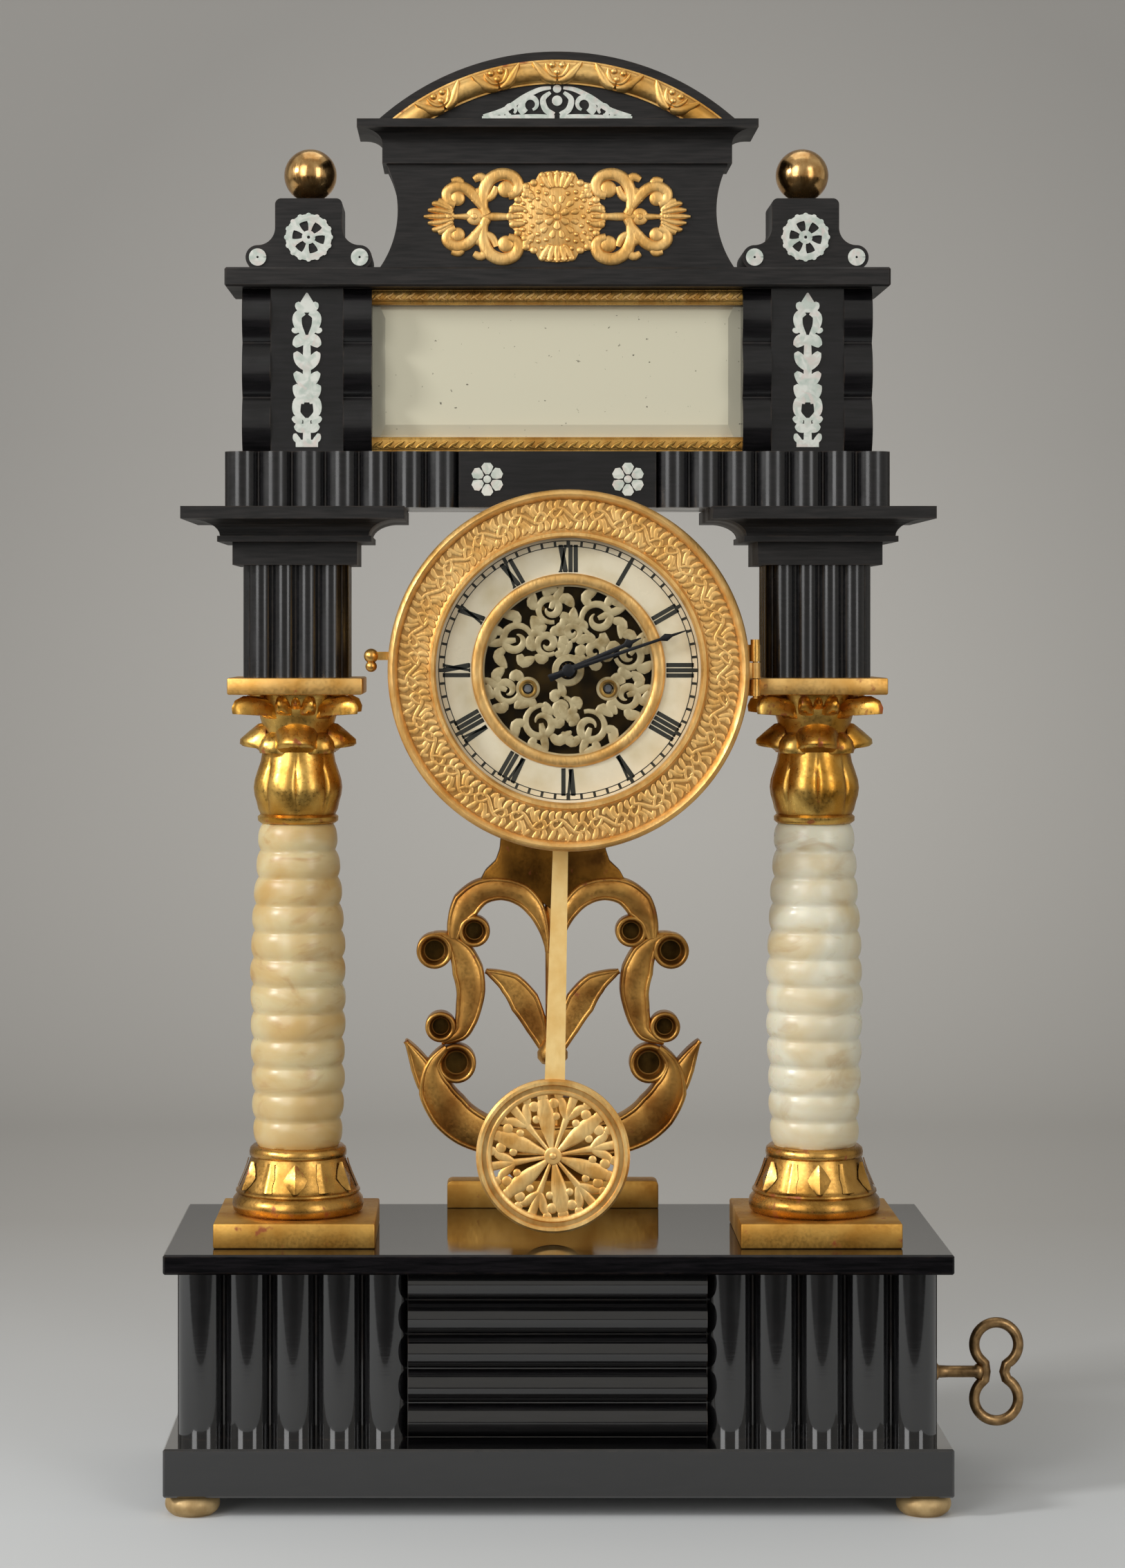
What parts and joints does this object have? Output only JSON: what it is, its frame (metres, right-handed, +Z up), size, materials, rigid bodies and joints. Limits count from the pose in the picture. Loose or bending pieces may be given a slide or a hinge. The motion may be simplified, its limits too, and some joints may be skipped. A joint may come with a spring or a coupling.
{
  "type": "portico clock",
  "caption": "Portico clock: reeded black case, ringed alabaster columns, mirror attic, arched crest, gilt lyre, hinged bezel, skeleton dial, swinging pendulum and a music movement in the base.",
  "frame": {"origin": "middle of the whole clock's box, key included, on the surface it stands on; the base's own middle lies 17.65 mm to the left", "axes": "+X to the clock's right as seen from the front, +Y to the back, +Z up"},
  "size_m": [0.3352, 0.12, 0.5605],
  "materials": {
    "ebonised": "black stained wood, french polished",
    "gilt_wood": "gilt over red bole, worn on the edges",
    "alabaster": "cream alabaster with amber veins, polished",
    "gilt_brass": "stamped and gilt brass, softly polished",
    "brass": "machined brass, lacquered",
    "steel": "drawn steel",
    "blued_steel": "blued steel",
    "mother_of_pearl": "mother-of-pearl, pale with pink and green lights",
    "mirror": "old bevelled mirror",
    "clear_glass": "clear flat glass",
    "enamel": "cream enamel with black numerals",
    "cream_metal": "cream painted pierced plate"
  },
  "bodies": {
    "case": {"base_plinth": "ebonised", "base_carcase": "ebonised", "base_reeding": "ebonised", "base_top": "ebonised", "reeded_blocks": "ebonised", "imposts": "ebonised", "frieze": "ebonised", "attic_piers": "ebonised", "mirror_board": "ebonised", "attic_cornice": "ebonised", "ball_pedestals": "ebonised", "crest_panel": "ebonised", "crest_cornice": "ebonised", "pediment_board": "ebonised", "column_plinths": "gilt_wood", "column_feet": "gilt_wood", "capitals": "gilt_wood", "abaci": "gilt_wood", "mirror_mouldings": "gilt_wood", "gilt_balls": "gilt_wood", "pediment_moulding": "gilt_wood", "lyre_stand": "gilt_wood", "column_shafts": "alabaster", "feet": "gilt_brass", "crest_mount": "gilt_brass", "drum": "gilt_brass", "drum_cover": "gilt_brass", "bezel_hinge": "gilt_brass", "dial_rim": "gilt_brass", "music_bedplate": "brass", "movement_frame": "brass", "music_comb": "steel", "tie_rods": "steel", "gong": "steel", "pearl_inlays": "mother_of_pearl", "mirror_glass": "mirror", "dial_ring": "enamel", "skeleton_plate": "cream_metal"},
    "bezel": {"bezel": "gilt_brass", "bezel_glass": "clear_glass"},
    "catch": {"bezel_catch": "gilt_brass"},
    "minute": {"centre_wheel": "brass", "minute_hand": "blued_steel"},
    "hour": {"hour_hand": "blued_steel"},
    "motion": {"motion_wheel": "brass"},
    "third": {"third_wheel": "brass"},
    "escape": {"escape_wheel": "brass"},
    "going_spring": {"going_barrel": "brass"},
    "going_winder": {"going_arbor": "steel"},
    "strike_spring": {"strike_barrel": "brass"},
    "strike_winder": {"strike_arbor": "steel"},
    "pendulum": {"pendulum_rod": "gilt_brass", "pendulum_bob": "gilt_brass"},
    "anchor": {"anchor": "steel"},
    "hammer": {"strike_hammer": "steel"},
    "key": {"winding_key": "gilt_brass", "music_arbor": "steel"},
    "music_spring": {"music_barrel": "brass"},
    "music_drum": {"music_cylinder": "brass"},
    "music_governor": {"music_fly": "brass"}
  },
  "joints": [
    {"name": "bezel_open", "type": "hinge", "parent": "case", "child": "bezel", "pos_m": [0.05775, -0.048, 0.3215], "axis": [0, 0, 1], "range_deg": [0, 110]},
    {"name": "catch_turn", "type": "hinge", "parent": "case", "child": "catch", "pos_m": [-0.07715, -0.0434, 0.327], "axis": [0, 1, 0], "range_deg": [0, 35]},
    {"name": "minute_turn", "type": "hinge", "parent": "case", "child": "minute", "pos_m": [-0.01365, -0.0374, 0.3215], "axis": [0, 1, 0], "continuous": true},
    {"name": "hour_turn", "type": "hinge", "parent": "case", "child": "hour", "pos_m": [-0.01365, -0.0374, 0.3215], "axis": [0, 1, 0], "continuous": true},
    {"name": "motion_turn", "type": "hinge", "parent": "case", "child": "motion", "pos_m": [-0.01939, -0.0374, 0.32969], "axis": [0, 1, 0], "continuous": true},
    {"name": "third_turn", "type": "hinge", "parent": "case", "child": "third", "pos_m": [-0.01365, -0.0374, 0.3359], "axis": [0, 1, 0], "continuous": true},
    {"name": "escape_turn", "type": "hinge", "parent": "case", "child": "escape", "pos_m": [-0.02339, -0.0374, 0.34539], "axis": [0, 1, 0], "continuous": true},
    {"name": "going_barrel_turn", "type": "hinge", "parent": "case", "child": "going_spring", "pos_m": [0.00175, -0.0374, 0.3144], "axis": [0, 1, 0], "continuous": true},
    {"name": "going_winder_turn", "type": "hinge", "parent": "case", "child": "going_winder", "pos_m": [0.00175, -0.0374, 0.3144], "axis": [0, 1, 0], "continuous": true},
    {"name": "strike_barrel_turn", "type": "hinge", "parent": "case", "child": "strike_spring", "pos_m": [-0.02905, -0.0374, 0.3144], "axis": [0, 1, 0], "continuous": true},
    {"name": "strike_winder_turn", "type": "hinge", "parent": "case", "child": "strike_winder", "pos_m": [-0.02905, -0.0374, 0.3144], "axis": [0, 1, 0], "continuous": true},
    {"name": "pendulum_swing", "type": "hinge", "parent": "case", "child": "pendulum", "pos_m": [-0.01365, -0.025, 0.3515], "axis": [0, 1, 0], "range_deg": [-6.4, 3.6]},
    {"name": "anchor_rock", "type": "hinge", "parent": "case", "child": "anchor", "pos_m": [-0.01365, -0.025, 0.3515], "axis": [0, 1, 0], "range_deg": [-6.4, 3.6]},
    {"name": "hammer_strike", "type": "hinge", "parent": "case", "child": "hammer", "pos_m": [0.00835, -0.025, 0.3215], "axis": [0, 1, 0], "range_deg": [-5, 20]},
    {"name": "key_turn", "type": "hinge", "parent": "case", "child": "key", "pos_m": [0, 0, 0.0435], "axis": [1, 0, 0], "continuous": true},
    {"name": "music_barrel_turn", "type": "hinge", "parent": "case", "child": "music_spring", "pos_m": [0, 0, 0.0435], "axis": [1, 0, 0], "continuous": true},
    {"name": "music_cylinder_turn", "type": "hinge", "parent": "case", "child": "music_drum", "pos_m": [0, 0, 0.0619], "axis": [1, 0, 0], "continuous": true},
    {"name": "music_fly_turn", "type": "hinge", "parent": "case", "child": "music_governor", "pos_m": [0, 0, 0.0419], "axis": [1, 0, 0], "continuous": true}
  ],
  "couplings": [
    {"joint": "hour_turn", "follows": "minute_turn", "ratio": 0.083333},
    {"joint": "motion_turn", "follows": "minute_turn", "ratio": -0.33333},
    {"joint": "going_barrel_turn", "follows": "minute_turn", "ratio": -0.16667},
    {"joint": "third_turn", "follows": "minute_turn", "ratio": -8},
    {"joint": "escape_turn", "follows": "minute_turn", "ratio": 60},
    {"joint": "anchor_rock", "follows": "pendulum_swing", "ratio": 1},
    {"joint": "music_barrel_turn", "follows": "music_cylinder_turn", "ratio": -0.35294},
    {"joint": "music_fly_turn", "follows": "music_cylinder_turn", "ratio": -4}
  ]
}
